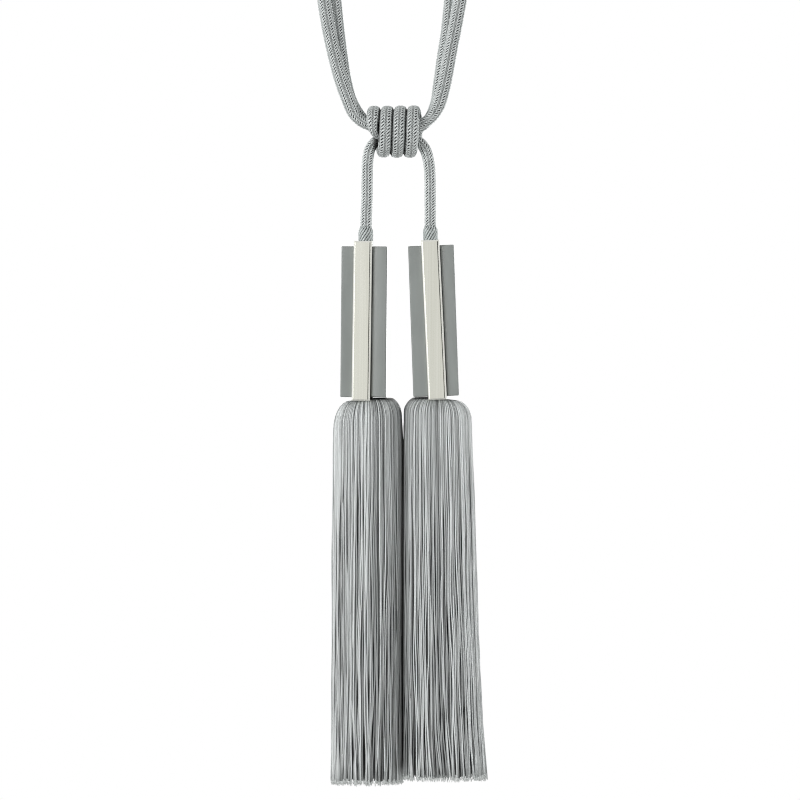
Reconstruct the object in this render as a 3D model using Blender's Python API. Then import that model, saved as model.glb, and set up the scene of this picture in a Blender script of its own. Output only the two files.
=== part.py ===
"""Curtain tieback: two tassels on one cord, gathered with a doubled loop in a wound knot.

Metres, +Z up. The origin is the hanging point, under the top of the loop. The heads' fronts face -Y.
"""

import math
import random

import bmesh
import bpy
from mathutils import Matrix, Vector
from mathutils.geometry import interpolate_bezier

MM = 0.001
GAP = 0.3 * MM  # clearance kept where one piece rests on another

# Cord
LOOP_CORD_RADIUS = 3.9 * MM
DROP_CORD_RADIUS = 3.2 * MM
PRESSED_CORD_RADIUS = 3.0 * MM  # where the knot squeezes it
CORD_SIDES_RESOLUTION = 3  # ten sides
CORD_STEPS = 2  # tube points for each stretch of the route
# Distances from the knot's middle between which a pressed cord swells to its own size.
LOOP_CORD_SWELLS = (15 * MM, 34 * MM)
DROP_CORD_SWELLS = (12 * MM, 22 * MM)

# Knot: a winding round an axis along X
KNOT_HEIGHT = -193.6 * MM
WRAP_CORD_RADIUS = 3.4 * MM
WRAP_RADIUS = 10.9 * MM  # from the knot's axis to the middle of the cord
WRAP_PITCH = 7.3 * MM
WRAP_FIRST_CREST = -11.1 * MM
WRAP_TURNS_BETWEEN_CRESTS = 3
WRAP_LEAN = 1.5 * MM  # how far the back of a turn runs ahead of its front
WRAP_STEPS_A_TURN = 18
TUCK_START = math.radians(58)  # past the crest, where an end begins to dive under its neighbour
TUCK_END = math.radians(128)
TUCK_SIDEWAYS = 5.0 * MM
TUCK_SIDEWAYS_BACK = 4.2 * MM
TUCK_DEPTH = 4.65 * MM
TUCK_SIDEWAYS_POWER = 3  # the higher, the later in the dive
TUCK_DEPTH_POWER = 1.45
TUCK_END_RADIUS = 1.3 * MM

# Heads
BLOCK_WIDTH = 25.0 * MM
BLOCK_HEIGHT = 82.5 * MM
BLOCK_EDGE = 0.5 * MM
BAR_WIDTH = 10.0 * MM
BAR_THICKNESS = 3.0 * MM
BAR_LENGTH = 87.1 * MM
BAR_ABOVE_BLOCK = 2.6 * MM
BAR_EDGE = 0.9 * MM
COLLAR_RADIUS = 4.15 * MM
COLLAR_GROOVE = 0.45 * MM
COLLAR_THREADS = 12
COLLAR_HEIGHT = 11.0 * MM  # above the block
COLLAR_FOOT = 1.0 * MM  # plain part above the block, below the ridges
COLLAR_RINGS = 7
COLLAR_TWIST = math.radians(13)  # from one ring to the next
COLLAR_LIP = 0.1 * MM  # by which its top is wider than the cord in it
COLLAR_SMOOTH = math.radians(50)
SOCKET_DEPTH = 6.0 * MM
SOCKET_CLEARANCE = 0.5 * MM
SOCKET_OVERRUN = 1.0 * MM  # of the cutter, past the block
SOCKET_SIDES = 24

# Skirts
NECK_RADIUS = 4.7 * MM
NECK_SIDES = 16
CROWN_RADIUS = 9.7 * MM  # flat top of the skirt's head
RIM_RADIUS = 19.0 * MM  # where the threads come out of it
BACKING_DEPTH = 16.0 * MM
BACKING_SIDES = 40
BACKING_RINGS = 5
LOCK_LEVELS = (0.5, 1.0)  # parts of a lock's length
LOCK_STRAY = 0.012  # of the skirt's half width
LOCK_UNEVEN = 3.0 * MM
LOCK_TIP = 0.7  # width of a lock's tip, as a part of its root
LOCK_SHARE = 0.84  # of a ring's round, and of its width, that the locks fill
LOCK_SMOOTH = math.radians(30)
# Rings of locks, as (distance from the middle, width, number of locks).
# Distance and width are parts of the skirt's half width.
LOCK_RINGS = (
    (0.905, 0.15, 38),
    (0.715, 0.15, 30),
    (0.525, 0.15, 22),
    (0.335, 0.15, 13),
    (0.15, 0.15, 5),
)

# Head, left and right: place of the block's top, lean and turn, and how the bar sits on the block.
HEADS = {
    "left": {
        "top": Vector((-16.0, 0.0, -258.1)) * MM,
        "lean": math.radians(0.5),
        "turn": math.radians(-2.3),
        "bar_shift": -0.8 * MM,
        "bar_lean": math.radians(0.3),
    },
    "right": {
        "top": Vector((20.1, 0.0, -257.6)) * MM,
        "lean": math.radians(-2.0),
        "turn": math.radians(-1.0),
        "bar_shift": 0.2 * MM,
        "bar_lean": math.radians(-0.7),
    },
}

# Skirt, left and right: height of its top, and rows of
# depth below the top, middle in X, half width in X, half depth in Y (all mm).
SKIRTS = {
    "left": {
        "top": -342.2 * MM,
        "seed": 11,
        "rows": (
            (16.0, -14.95, 19.0, 19.0),
            (60.0, -15.15, 19.25, 19.3),
            (130.0, -15.5, 19.4, 19.8),
            (212.0, -15.8, 19.45, 20.4),
        ),
    },
    "right": {
        "top": -341.9 * MM,
        "seed": 23,
        "rows": (
            (16.0, 23.9, 19.0, 19.0),
            (60.0, 24.6, 19.9, 19.6),
            (130.0, 25.6, 21.0, 20.2),
            (180.0, 26.8, 22.2, 20.8),
            (210.0, 27.9, 23.4, 21.4),
        ),
    },
}

# Routes of the cords, as X, Y, Z in mm, from left to right.
LOOP_FRONT_ROUTE = (
    (-0.2, -3.2, -191.3),
    (-4.8, -3.2, -191.3),
    (-8.9, -3.2, -191.5),
    (-12.9, -3.2, -190.8),
    (-17.0, -3.25, -189.2),
    (-21.0, -3.6, -186.0),
    (-26.2, -4.0, -174.9),
    (-30.2, -4.0, -163.3),
    (-33.6, -3.7, -150.1),
    (-36.4, -3.4, -136.9),
    (-39.2, -3.0, -120.0),
    (-41.7, -3.2, -103.0),
    (-43.6, -3.6, -86.3),
    (-44.7, -4.05, -69.7),
    (-44.7, -4.05, -54.2),
    (-43.0, -4.05, -38.7),
    (-38.9, -4.05, -24.4),
    (-32.3, -4.05, -11.6),
    (-23.0, -4.05, -2.2),
    (-11.7, -4.05, 2.6),
    (0.0, -4.05, 3.9),
    (11.7, -4.05, 2.6),
    (22.6, -4.05, -2.2),
    (31.5, -4.05, -11.6),
    (37.9, -4.05, -24.4),
    (41.6, -4.05, -38.7),
    (43.0, -4.05, -54.2),
    (42.7, -4.05, -69.7),
    (41.3, -3.6, -86.3),
    (39.1, -3.2, -103.0),
    (36.4, -3.15, -119.9),
    (33.3, -3.6, -136.9),
    (30.7, -3.75, -150.3),
    (28.3, -4.0, -163.6),
    (26.0, -4.0, -173.9),
    (23.7, -3.8, -180.9),
    (19.7, -3.5, -186.7),
    (14.1, -3.2, -190.2),
    (7.5, -3.2, -191.3),
    (0.2, -3.2, -191.3),
)
LOOP_BACK_ROUTE = (
    (-0.2, 3.2, -191.3),
    (-4.8, 3.2, -191.3),
    (-8.9, 3.2, -191.4),
    (-12.2, 3.2, -190.6),
    (-15.3, 3.2, -188.4),
    (-18.6, 3.5, -184.9),
    (-24.2, 4.0, -176.5),
    (-27.8, 4.0, -163.7),
    (-29.7, 3.7, -151.5),
    (-31.4, 3.4, -138.0),
    (-33.2, 3.0, -121.1),
    (-35.1, 3.2, -103.0),
    (-37.5, 3.6, -86.3),
    (-40.2, 4.05, -69.7),
    (-41.8, 4.05, -54.2),
    (-41.5, 4.05, -38.7),
    (-38.2, 4.05, -24.4),
    (-32.0, 4.05, -11.6),
    (-22.9, 4.05, -2.2),
    (-11.7, 4.05, 2.6),
    (0.0, 4.05, 3.9),
    (11.7, 4.05, 2.6),
    (22.4, 4.05, -2.2),
    (31.1, 4.05, -11.6),
    (37.0, 4.05, -24.4),
    (40.1, 4.05, -38.7),
    (40.3, 4.05, -54.2),
    (38.7, 4.05, -69.7),
    (36.1, 3.6, -86.3),
    (33.4, 3.2, -103.0),
    (31.1, 3.3, -121.1),
    (29.3, 3.6, -138.1),
    (27.2, 3.75, -151.5),
    (25.3, 4.0, -164.9),
    (22.9, 3.8, -178.6),
    (19.1, 3.3, -186.1),
    (14.9, 3.2, -190.1),
    (10.2, 3.2, -191.2),
    (5.2, 3.2, -191.4),
    (0.2, 3.2, -191.3),
)
DROP_ROUTE = (
    (-15.9, 0.0, -246.8),
    (-15.6, 0.0, -238.6),
    (-15.3, 0.0, -230.8),
    (-15.2, 0.0, -219.5),
    (-15.1, 0.0, -212.5),
    (-14.5, 0.0, -206.7),
    (-13.6, 0.0, -203.1),
    (-11.4, 0.0, -199.9),
    (-8.2, 0.0, -197.7),
    (-4.5, 0.0, -197.0),
    (0.8, 0.0, -196.8),
    (6.3, 0.0, -197.0),
    (10.7, 0.0, -197.8),
    (14.3, 0.0, -199.9),
    (16.9, 0.0, -203.4),
    (18.5, 0.0, -208.4),
    (19.3, 0.0, -213.7),
    (19.6, 0.0, -219.5),
    (19.7, 0.0, -230.8),
    (19.75, 0.0, -238.6),
    (19.75, 0.0, -246.2),
)

YARN = (0.42, 0.44, 0.43)
PAINT = (0.27, 0.29, 0.28)
PALE_METAL = (0.72, 0.71, 0.64)


def clear_scene():
    for obj in list(bpy.data.objects):
        bpy.data.objects.remove(obj)


def finish(obj, colour, roughness, metallic=0.0):
    """Gives the object a material of its own."""
    material = bpy.data.materials.new(obj.name)
    material.use_nodes = True
    shader = material.node_tree.nodes["Principled BSDF"]
    shader.inputs["Base Color"].default_value = (*colour, 1.0)
    shader.inputs["Roughness"].default_value = roughness
    shader.inputs["Metallic"].default_value = metallic
    obj.data.materials.append(material)
    return obj


def add_object(name, data, parent=None):
    obj = bpy.data.objects.new(name, data)
    obj.parent = parent
    bpy.context.scene.collection.objects.link(obj)
    return obj


def mesh_object(name, bm, parent=None, smooth_angle=None):
    """Turns a bmesh into an object, with its faces pointing out."""
    bmesh.ops.recalc_face_normals(bm, faces=bm.faces)
    mesh = bpy.data.meshes.new(name)
    bm.to_mesh(mesh)
    bm.free()
    if smooth_angle is not None:
        mesh.shade_smooth()
        mesh.set_sharp_from_angle(angle=smooth_angle)
    return add_object(name, mesh, parent)


def loop_edges(verts):
    """The edges that join these points to each other."""
    inside = set(verts)
    return [edge for edge in {e for vert in verts for e in vert.link_edges} if inside.issuperset(edge.verts)]


def extrude_ring(bm, ring):
    """Draws a new ring out of a ring of edges. Returns its points and its edges."""
    made = bmesh.ops.extrude_edge_only(bm, edges=ring)["geom"]
    verts = [item for item in made if isinstance(item, bmesh.types.BMVert)]
    return verts, loop_edges(verts)


# ---------------------------------------------------------------- cords


def smooth_route(route, steps):
    """Points along a smooth curve through the route's own points, given in mm."""
    points = [Vector(row) * MM for row in route]
    last = len(points) - 1
    headings = []
    for i in range(len(points)):
        before = points[max(i, 1)] - points[max(i, 1) - 1]
        after = points[min(i, last - 1) + 1] - points[min(i, last - 1)]
        nearer_counts_more = before.normalized() * after.length + after.normalized() * before.length
        headings.append(nearer_counts_more.normalized())
    smooth = [points[0]]
    for i in range(last):
        reach = (points[i + 1] - points[i]).length / 3
        handle_out = points[i] + headings[i] * reach
        handle_in = points[i + 1] - headings[i + 1] * reach
        stretch = interpolate_bezier(points[i], handle_out, handle_in, points[i + 1], steps + 1)
        smooth += stretch[1:]
    return smooth


def ease(value, low, high):
    """0 below low, 1 above high, and a smooth step between them."""
    part = min(max((value - low) / (high - low), 0.0), 1.0)
    return part * part * (3 - 2 * part)


def swelling(points, free_radius, near, far):
    """Radius of the cord at each point: pressed within the knot, and free at some distance from it."""
    knot = Vector((0.0, 0.0, KNOT_HEIGHT))
    radii = []
    for point in points:
        away = (point - knot).length
        radii.append(PRESSED_CORD_RADIUS + (free_radius - PRESSED_CORD_RADIUS) * ease(away, near, far))
    return radii


def tube(name, points, radii):
    """A cord as a curve with a round bevel and filled ends."""
    curve = bpy.data.curves.new(name, "CURVE")
    curve.dimensions = "3D"
    curve.bevel_depth = max(radii)
    curve.bevel_resolution = CORD_SIDES_RESOLUTION
    curve.use_fill_caps = True
    curve.resolution_u = 1
    spline = curve.splines.new("POLY")
    spline.points.add(len(points) - 1)
    spline.use_smooth = True
    for knot, point, radius in zip(spline.points, points, radii):
        knot.co = (*point, 1.0)
        knot.radius = radius / curve.bevel_depth
    return finish(add_object(name, curve), YARN, 0.75)


def make_cords():
    for name, route in (("loop_cord_front", LOOP_FRONT_ROUTE), ("loop_cord_back", LOOP_BACK_ROUTE)):
        points = smooth_route(route, CORD_STEPS)
        tube(name, points, swelling(points, LOOP_CORD_RADIUS, *LOOP_CORD_SWELLS))
    points = smooth_route(DROP_ROUTE, CORD_STEPS)
    tube("drop_cord", points, swelling(points, DROP_CORD_RADIUS, *DROP_CORD_SWELLS))


# ---------------------------------------------------------------- knot


def wrap_point(angle, last_crest):
    """Place and radius of the wound cord at an angle, which is 0 on the first crest and grows to the back.

    Before the first crest and after the last one, the cord thins and dives under the neighbouring turn.
    """
    turns = angle / math.tau
    along = WRAP_FIRST_CREST + WRAP_PITCH * turns + WRAP_LEAN * (1 - math.cos(angle)) / 2
    past = max(-angle, angle - last_crest, 0.0)
    tuck = min(max((past - TUCK_START) / (TUCK_END - TUCK_START), 0.0), 1.0)
    if angle < 0:
        along += TUCK_SIDEWAYS * tuck**TUCK_SIDEWAYS_POWER
    else:
        along -= TUCK_SIDEWAYS_BACK * tuck**TUCK_SIDEWAYS_POWER
    out = WRAP_RADIUS - TUCK_DEPTH * tuck**TUCK_DEPTH_POWER
    radius = WRAP_CORD_RADIUS + (TUCK_END_RADIUS - WRAP_CORD_RADIUS) * tuck
    return Vector((along, out * math.sin(angle), KNOT_HEIGHT + out * math.cos(angle))), radius


def make_knot():
    last_crest = math.tau * WRAP_TURNS_BETWEEN_CRESTS
    first, last = -TUCK_END, last_crest + TUCK_END
    steps = round((last - first) / math.tau * WRAP_STEPS_A_TURN)
    rows = [wrap_point(first + (last - first) * i / steps, last_crest) for i in range(steps + 1)]
    tube("knot_wrap", [point for point, _ in rows], [radius for _, radius in rows])


# ---------------------------------------------------------------- heads


def round_cutter(name, radius, bottom, top, parent):
    bm = bmesh.new()
    middle = Matrix.Translation((0.0, 0.0, (bottom + top) / 2))
    bmesh.ops.create_cone(
        bm,
        cap_ends=True,
        segments=SOCKET_SIDES,
        radius1=radius,
        radius2=radius,
        depth=top - bottom,
        matrix=middle,
    )
    cutter = mesh_object(name, bm, parent)
    cutter.hide_render = True
    cutter.display_type = "WIRE"
    return cutter


def make_block(side, parent):
    """The painted square block, drilled at the top for the collar and at the bottom for the skirt's neck."""
    bm = bmesh.new()
    size = Matrix.Diagonal((BLOCK_WIDTH, BLOCK_WIDTH, BLOCK_HEIGHT, 1.0))
    bmesh.ops.create_cube(bm, size=1.0, matrix=Matrix.Translation((0.0, 0.0, -BLOCK_HEIGHT / 2)) @ size)
    bmesh.ops.bevel(
        bm, geom=bm.edges[:], offset=BLOCK_EDGE, segments=1, profile=0.5, affect="EDGES", material=-1
    )
    block = mesh_object(f"head_block_{side}", bm, parent)
    foot = -BLOCK_HEIGHT
    sockets = (
        ("top", COLLAR_RADIUS + SOCKET_CLEARANCE, -SOCKET_DEPTH, SOCKET_OVERRUN),
        ("bottom", NECK_RADIUS + SOCKET_CLEARANCE, foot - SOCKET_OVERRUN, foot + SOCKET_DEPTH),
    )
    for end, radius, low, high in sockets:
        cut = block.modifiers.new(f"{end} socket", "BOOLEAN")
        cut.object = round_cutter(f"{end}_socket_{side}", radius, low, high, parent)
    return finish(block, PAINT, 0.5)


def make_bar(side, head, parent):
    """The metal bar on the front of the block, with its front edges bevelled."""
    bm = bmesh.new()
    size = Matrix.Diagonal((BAR_WIDTH, BAR_THICKNESS, BAR_LENGTH, 1.0))
    bmesh.ops.create_cube(bm, size=1.0, matrix=size)
    front = min(bm.faces, key=lambda face: face.calc_center_median().y)
    bmesh.ops.bevel(
        bm, geom=front.edges[:], offset=BAR_EDGE, segments=1, profile=0.5, affect="EDGES", material=-1
    )
    bar = mesh_object(f"head_bar_{side}", bm, parent)
    middle_y = -BLOCK_WIDTH / 2 - GAP - BAR_THICKNESS / 2
    bar.location = (head["bar_shift"], middle_y, BAR_ABOVE_BLOCK - BAR_LENGTH / 2)
    bar.rotation_euler = (0.0, head["bar_lean"], 0.0)
    return finish(bar, PALE_METAL, 0.3, 1.0)


def make_collar(side, parent):
    """The whipping round the cord's end: slanting ridges of thread above a plain foot in the block."""
    bm = bmesh.new()
    sides = 2 * COLLAR_THREADS
    foot_radius = COLLAR_RADIUS - COLLAR_GROOVE
    foot = bmesh.ops.create_circle(bm, cap_ends=False, segments=sides, radius=foot_radius)["verts"]
    bmesh.ops.translate(bm, vec=(0, 0, -SOCKET_DEPTH + GAP), verts=foot)
    ring = loop_edges(foot)
    bmesh.ops.contextual_create(bm, geom=ring)
    verts, ring = extrude_ring(bm, ring)
    bmesh.ops.translate(bm, vec=(0, 0, SOCKET_DEPTH - GAP + COLLAR_FOOT - COLLAR_GROOVE), verts=verts)
    rise = (COLLAR_HEIGHT - COLLAR_FOOT) / (COLLAR_RINGS - 1)
    for i in range(COLLAR_RINGS):
        verts, ring = extrude_ring(bm, ring)
        bmesh.ops.translate(bm, vec=(0, 0, rise if i else COLLAR_GROOVE), verts=verts)
        bmesh.ops.rotate(bm, cent=(0, 0, 0), matrix=Matrix.Rotation(COLLAR_TWIST, 3, "Z"), verts=verts)
        if i == 0:
            ridges = sorted(verts, key=lambda vert: math.atan2(vert.co.y, vert.co.x))[::2]
            widen = COLLAR_RADIUS / foot_radius
            bmesh.ops.scale(bm, vec=(widen, widen, 1), verts=ridges)
    taper = (DROP_CORD_RADIUS + COLLAR_LIP) / COLLAR_RADIUS
    bmesh.ops.scale(bm, vec=(taper, taper, 1), verts=verts)
    bmesh.ops.contextual_create(bm, geom=ring)
    collar = mesh_object(f"collar_{side}", bm, parent, smooth_angle=COLLAR_SMOOTH)
    return finish(collar, YARN, 0.75)


def make_heads():
    for side, head in HEADS.items():
        frame = add_object(f"head_{side}", None)
        frame.location = head["top"]
        frame.rotation_euler = (0.0, head["lean"], head["turn"])
        make_block(side, frame)
        make_bar(side, head, frame)
        make_collar(side, frame)


# ---------------------------------------------------------------- skirts


def skirt_section(rows, depth):
    """Middle in X, half width and half depth of the skirt, in metres, at a depth below its top."""
    depth = min(max(depth / MM, rows[0][0]), rows[-1][0])
    for upper, lower in zip(rows, rows[1:]):
        if depth <= lower[0]:
            part = (depth - upper[0]) / (lower[0] - upper[0])
            return [(a + (b - a) * part) * MM for a, b in zip(upper[1:], lower[1:])]


def fill_round(bm, rim, holes):
    """Fills the flat space inside the rim and round the holes, each a list of edges."""
    edges = list(rim)
    for hole in holes:
        edges += hole
    bmesh.ops.triangle_fill(bm, use_beauty=True, edges=edges, normal=(0, 0, 1))


def make_backing(bm, middle, neck_middle):
    """The skirt's head, from its crown down to the rim, with the neck on it. Returns the rim's edges."""
    crown = bmesh.ops.create_circle(
        bm, cap_ends=False, segments=BACKING_SIDES, radius=CROWN_RADIUS, matrix=Matrix.Translation(middle)
    )["verts"]
    ring = loop_edges(crown)
    neck = bmesh.ops.create_circle(
        bm, cap_ends=False, segments=NECK_SIDES, radius=NECK_RADIUS, matrix=Matrix.Translation(neck_middle)
    )["verts"]
    neck_ring = loop_edges(neck)
    fill_round(bm, ring, [neck_ring])
    radius, height = CROWN_RADIUS, middle.z
    for i in range(1, BACKING_RINGS + 1):
        turn = math.pi / 2 * i / BACKING_RINGS
        verts, ring = extrude_ring(bm, ring)
        wider = CROWN_RADIUS + (RIM_RADIUS - CROWN_RADIUS) * math.sin(turn)
        lower = middle.z - BACKING_DEPTH * (1 - math.cos(turn))
        about = Matrix.Translation(-middle)
        bmesh.ops.scale(bm, vec=(wider / radius, wider / radius, 1), space=about, verts=verts)
        bmesh.ops.translate(bm, vec=(0, 0, lower - height), verts=verts)
        radius, height = wider, lower
    neck_verts, neck_top = extrude_ring(bm, neck_ring)
    bmesh.ops.translate(bm, vec=(0, 0, SOCKET_DEPTH - GAP), verts=neck_verts)
    bmesh.ops.contextual_create(bm, geom=neck_top)
    return ring


def lock_places(skirt, rng):
    """For each lock: its direction, place in the unit circle, length, and where it strays at each level."""
    longest = skirt["rows"][-1][0] * MM
    for distance, width, count in LOCK_RINGS:
        shift = rng.random()
        for i in range(count):
            turn = math.tau * (i + shift) / count
            across = math.tau * (distance - width / 2) / count * LOCK_SHARE
            stray = [Vector((rng.uniform(-1, 1), rng.uniform(-1, 1))) * LOCK_STRAY for _ in LOCK_LEVELS]
            yield {
                "turn": turn,
                "place": Vector((math.cos(turn), math.sin(turn))) * distance,
                "size": (width * LOCK_SHARE, across),
                "end": longest - rng.random() * LOCK_UNEVEN,
                "stray": stray,
            }


def make_skirt(side):
    """The skirt's head and the locks that hang from its underside, fused to it at their roots."""
    skirt = SKIRTS[side]
    head = HEADS[side]
    rows = skirt["rows"]
    rng = random.Random(skirt["seed"])
    middle = Vector((rows[0][1] * MM, 0.0, skirt["top"]))
    tilt = Matrix.Rotation(head["turn"], 3, "Z") @ Matrix.Rotation(head["lean"], 3, "Y")
    block_foot = head["top"] + tilt @ Vector((0.0, 0.0, -BLOCK_HEIGHT))
    bm = bmesh.new()
    rim = make_backing(bm, middle, Vector((block_foot.x, block_foot.y, skirt["top"])))

    root_height = skirt["top"] - BACKING_DEPTH
    locks = list(lock_places(skirt, rng))
    roots = []
    for lock in locks:
        size = Matrix.Diagonal((lock["size"][0] * RIM_RADIUS, lock["size"][1] * RIM_RADIUS, 1.0, 1.0))
        spot = Matrix.Translation((middle.x, 0.0, root_height)) @ Matrix.Translation(
            (*(lock["place"] * RIM_RADIUS), 0.0)
        )
        square = spot @ Matrix.Rotation(lock["turn"], 4, "Z") @ size @ Matrix.Rotation(math.pi / 4, 4, "Z")
        made = bmesh.ops.create_circle(bm, cap_ends=False, segments=4, radius=math.sqrt(0.5), matrix=square)
        roots.append(made["verts"])
    holes = [loop_edges(verts) for verts in roots]
    fill_round(bm, rim, holes)

    for lock, ring in zip(locks, holes):
        at = Vector((middle.x + lock["place"].x * RIM_RADIUS, lock["place"].y * RIM_RADIUS, root_height))
        wide = RIM_RADIUS
        for level, stray in zip(LOCK_LEVELS, lock["stray"]):
            depth = BACKING_DEPTH + (lock["end"] - BACKING_DEPTH) * level
            centre, half_width, half_depth = skirt_section(rows, depth)
            spot = lock["place"] + stray
            to = Vector((centre + spot.x * half_width, spot.y * half_depth, skirt["top"] - depth))
            verts, ring = extrude_ring(bm, ring)
            bmesh.ops.translate(bm, vec=to - at, verts=verts)
            tip = LOCK_TIP if level == LOCK_LEVELS[-1] else 1.0
            wider = half_depth / wide * tip
            bmesh.ops.scale(bm, vec=(wider, wider, 1), space=Matrix.Translation(-to), verts=verts)
            at, wide = to, half_depth
        bmesh.ops.contextual_create(bm, geom=ring)
    finish(mesh_object(f"skirt_{side}", bm, smooth_angle=LOCK_SMOOTH), YARN, 0.7)


clear_scene()
make_cords()
make_knot()
make_heads()
for skirt_side in SKIRTS:
    make_skirt(skirt_side)
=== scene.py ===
# %% [markdown]
# # Curtain tieback with two tassels
# A tieback of this kind is trimming work. Two lengths of braided cord make a soft loop, a shorter cord
# carries the two tassels, and a few turns of cord bind them all in a knot. Each tassel has a square painted
# head with a metal bar on its front, and a skirt of silky threads below.
#
# The imported model is loaded first. It gives every piece its place and size, so whatever is made below is
# laid exactly where that piece is.

# %% Load the frame
import math
import random

import bmesh
import bpy
from mathutils import Matrix, Vector, noise
from mathutils.geometry import interpolate_bezier


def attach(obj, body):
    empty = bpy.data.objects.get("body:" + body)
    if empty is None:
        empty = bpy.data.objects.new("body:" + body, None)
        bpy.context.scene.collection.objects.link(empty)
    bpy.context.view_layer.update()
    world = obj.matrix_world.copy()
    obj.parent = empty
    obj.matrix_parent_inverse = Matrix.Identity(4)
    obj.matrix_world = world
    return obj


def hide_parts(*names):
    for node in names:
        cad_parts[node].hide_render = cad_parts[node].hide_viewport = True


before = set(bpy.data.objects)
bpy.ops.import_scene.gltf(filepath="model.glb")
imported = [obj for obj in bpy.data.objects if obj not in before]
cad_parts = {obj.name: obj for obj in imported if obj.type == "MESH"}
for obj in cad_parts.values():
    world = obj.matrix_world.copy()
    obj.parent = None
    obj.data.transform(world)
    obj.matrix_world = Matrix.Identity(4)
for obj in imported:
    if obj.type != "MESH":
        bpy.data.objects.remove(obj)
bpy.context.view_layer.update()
MM = 0.001
print("nodes:", ", ".join(sorted(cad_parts)))

# %% [markdown]
# ## The camera
# Seen from the front, near things look larger, and how much larger tells how far away the camera stood. Here
# it was a little under a metre away, level with the lower edge of the heads. The lens is worked out from
# the width that has to fit the frame at that distance, so that both can be read as real sizes.

# %% Camera
CAMERA_DISTANCE = 0.935
VIEW_WIDTH = 0.4428  # what the frame takes in, in the plane of the cords
VIEW_CENTRE = Vector((0.003, 0.0, -0.3421))

camera_data = bpy.data.cameras.new("camera")
camera_data.lens = camera_data.sensor_width * CAMERA_DISTANCE / VIEW_WIDTH
camera = bpy.data.objects.new("camera", camera_data)
camera.location = VIEW_CENTRE + Vector((0.0, -CAMERA_DISTANCE, 0.0))
camera.rotation_euler = (math.radians(90), 0.0, 0.0)
bpy.context.scene.collection.objects.link(camera)
bpy.context.scene.camera = camera
print("lens, mm:", round(camera_data.lens, 1))

# %% [markdown]
# ## Light, floor and background
# Threads look silky when each one catches a highlight and drops a small shadow on the next. A wide soft key
# lamp at the front left gives those shadows a direction, weak ones in front and at the front right keep them
# from going black, and a tall strip lamp a little behind each side draws bright rims. One more lamp behind
# shows the back.
# The world is white all round, but each kind of ray sees it at a strength of its own: the camera sees
# pure white, the bars mirror a little less, and it lights matt surfaces only faintly, so that the gaps
# between threads stay dark.

# %% World
WORLD_TO_CAMERA = 1.0
WORLD_IN_MIRRORS = 0.87
WORLD_LIGHT = 0.14
world = bpy.data.worlds.new("studio")
bpy.context.scene.world = world
world.use_nodes = True
world_nodes = world.node_tree.nodes
world_links = world.node_tree.links
background = world_nodes["Background"]
background.inputs["Color"].default_value = (1.0, 1.0, 1.0, 1.0)
ray = world_nodes.new("ShaderNodeLightPath")
strength = None
for kind_of_ray, value in (("Is Glossy Ray", WORLD_IN_MIRRORS), ("Is Camera Ray", WORLD_TO_CAMERA)):
    choose = world_nodes.new("ShaderNodeMix")
    choose.inputs["A"].default_value = WORLD_LIGHT
    choose.inputs["B"].default_value = value
    world_links.new(ray.outputs[kind_of_ray], choose.inputs["Factor"])
    if strength:
        world_links.new(strength, choose.inputs["A"])
    strength = choose.outputs["Result"]
world_links.new(strength, background.inputs["Strength"])
bpy.context.scene.view_settings.view_transform = "Standard"
# A narrow pixel filter, and cleaning noise without blurring its guides first, keep single threads sharp.
bpy.context.scene.cycles.filter_width = 1.1
bpy.context.scene.cycles.denoising_prefilter = "NONE"
print("world:", WORLD_TO_CAMERA, WORLD_IN_MIRRORS, WORLD_LIGHT)

# %% Lamps and floor
LIT_SPOT = Vector((0.0, 0.0, -0.34))
LAMPS = {
    # name: degrees from the camera's side to the right, distance, height above the spot, width, height, watts
    "key": (-38, 1.5, 0.3, 0.9, 0.9, 11.0),
    "front": (4, 1.6, 0.05, 0.3, 0.8, 3.2),
    "left strip": (-114, 1.3, 0.2, 0.4, 1.2, 5.0),
    "right front": (52, 1.5, 0.0, 0.4, 1.0, 3.0),
    "right strip": (114, 1.3, 0.1, 0.4, 1.2, 7.0),
    "back": (172, 1.6, 0.2, 0.9, 0.9, 6.0),
}
for lamp_name, (azimuth, distance, above, wide, high, power) in LAMPS.items():
    lamp_data = bpy.data.lights.new(lamp_name, "AREA")
    lamp_data.shape = "RECTANGLE"
    lamp_data.size = wide
    lamp_data.size_y = high
    lamp_data.energy = power
    lamp = bpy.data.objects.new(lamp_name, lamp_data)
    turn = math.radians(azimuth)
    lamp.location = LIT_SPOT + Vector((distance * math.sin(turn), -distance * math.cos(turn), above))
    lamp.rotation_euler = (LIT_SPOT - lamp.location).to_track_quat("-Z", "Y").to_euler()
    lamp.visible_glossy = "front" not in lamp_name  # the bars would mirror these and burn out
    bpy.context.scene.collection.objects.link(lamp)

FLOOR_HEIGHT = -0.8
FLOOR_RADIUS = 0.6
FLOOR_PLAIN = 0.1  # from here to its rim it fades into the white behind it, for the camera only
bm = bmesh.new()
bmesh.ops.create_circle(
    bm, cap_ends=True, segments=96, radius=FLOOR_RADIUS, matrix=Matrix.Translation((0, 0, FLOOR_HEIGHT))
)
floor_mesh = bpy.data.meshes.new("floor")
bm.to_mesh(floor_mesh)
bm.free()
floor = bpy.data.objects.new("floor", floor_mesh)
bpy.context.scene.collection.objects.link(floor)
floor_paint = bpy.data.materials.new("floor")
floor_paint.use_nodes = True
nodes, links = floor_paint.node_tree.nodes, floor_paint.node_tree.links
matt = nodes["Principled BSDF"]
matt.inputs["Base Color"].default_value = (0.9, 0.9, 0.89, 1.0)
matt.inputs["Roughness"].default_value = 0.9
place = nodes.new("ShaderNodeTexCoord")
from_middle = nodes.new("ShaderNodeVectorMath")
from_middle.operation = "DISTANCE"
from_middle.inputs[1].default_value = (0.0, 0.0, FLOOR_HEIGHT)
fade = nodes.new("ShaderNodeMapRange")
fade.interpolation_type = "SMOOTHSTEP"
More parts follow.
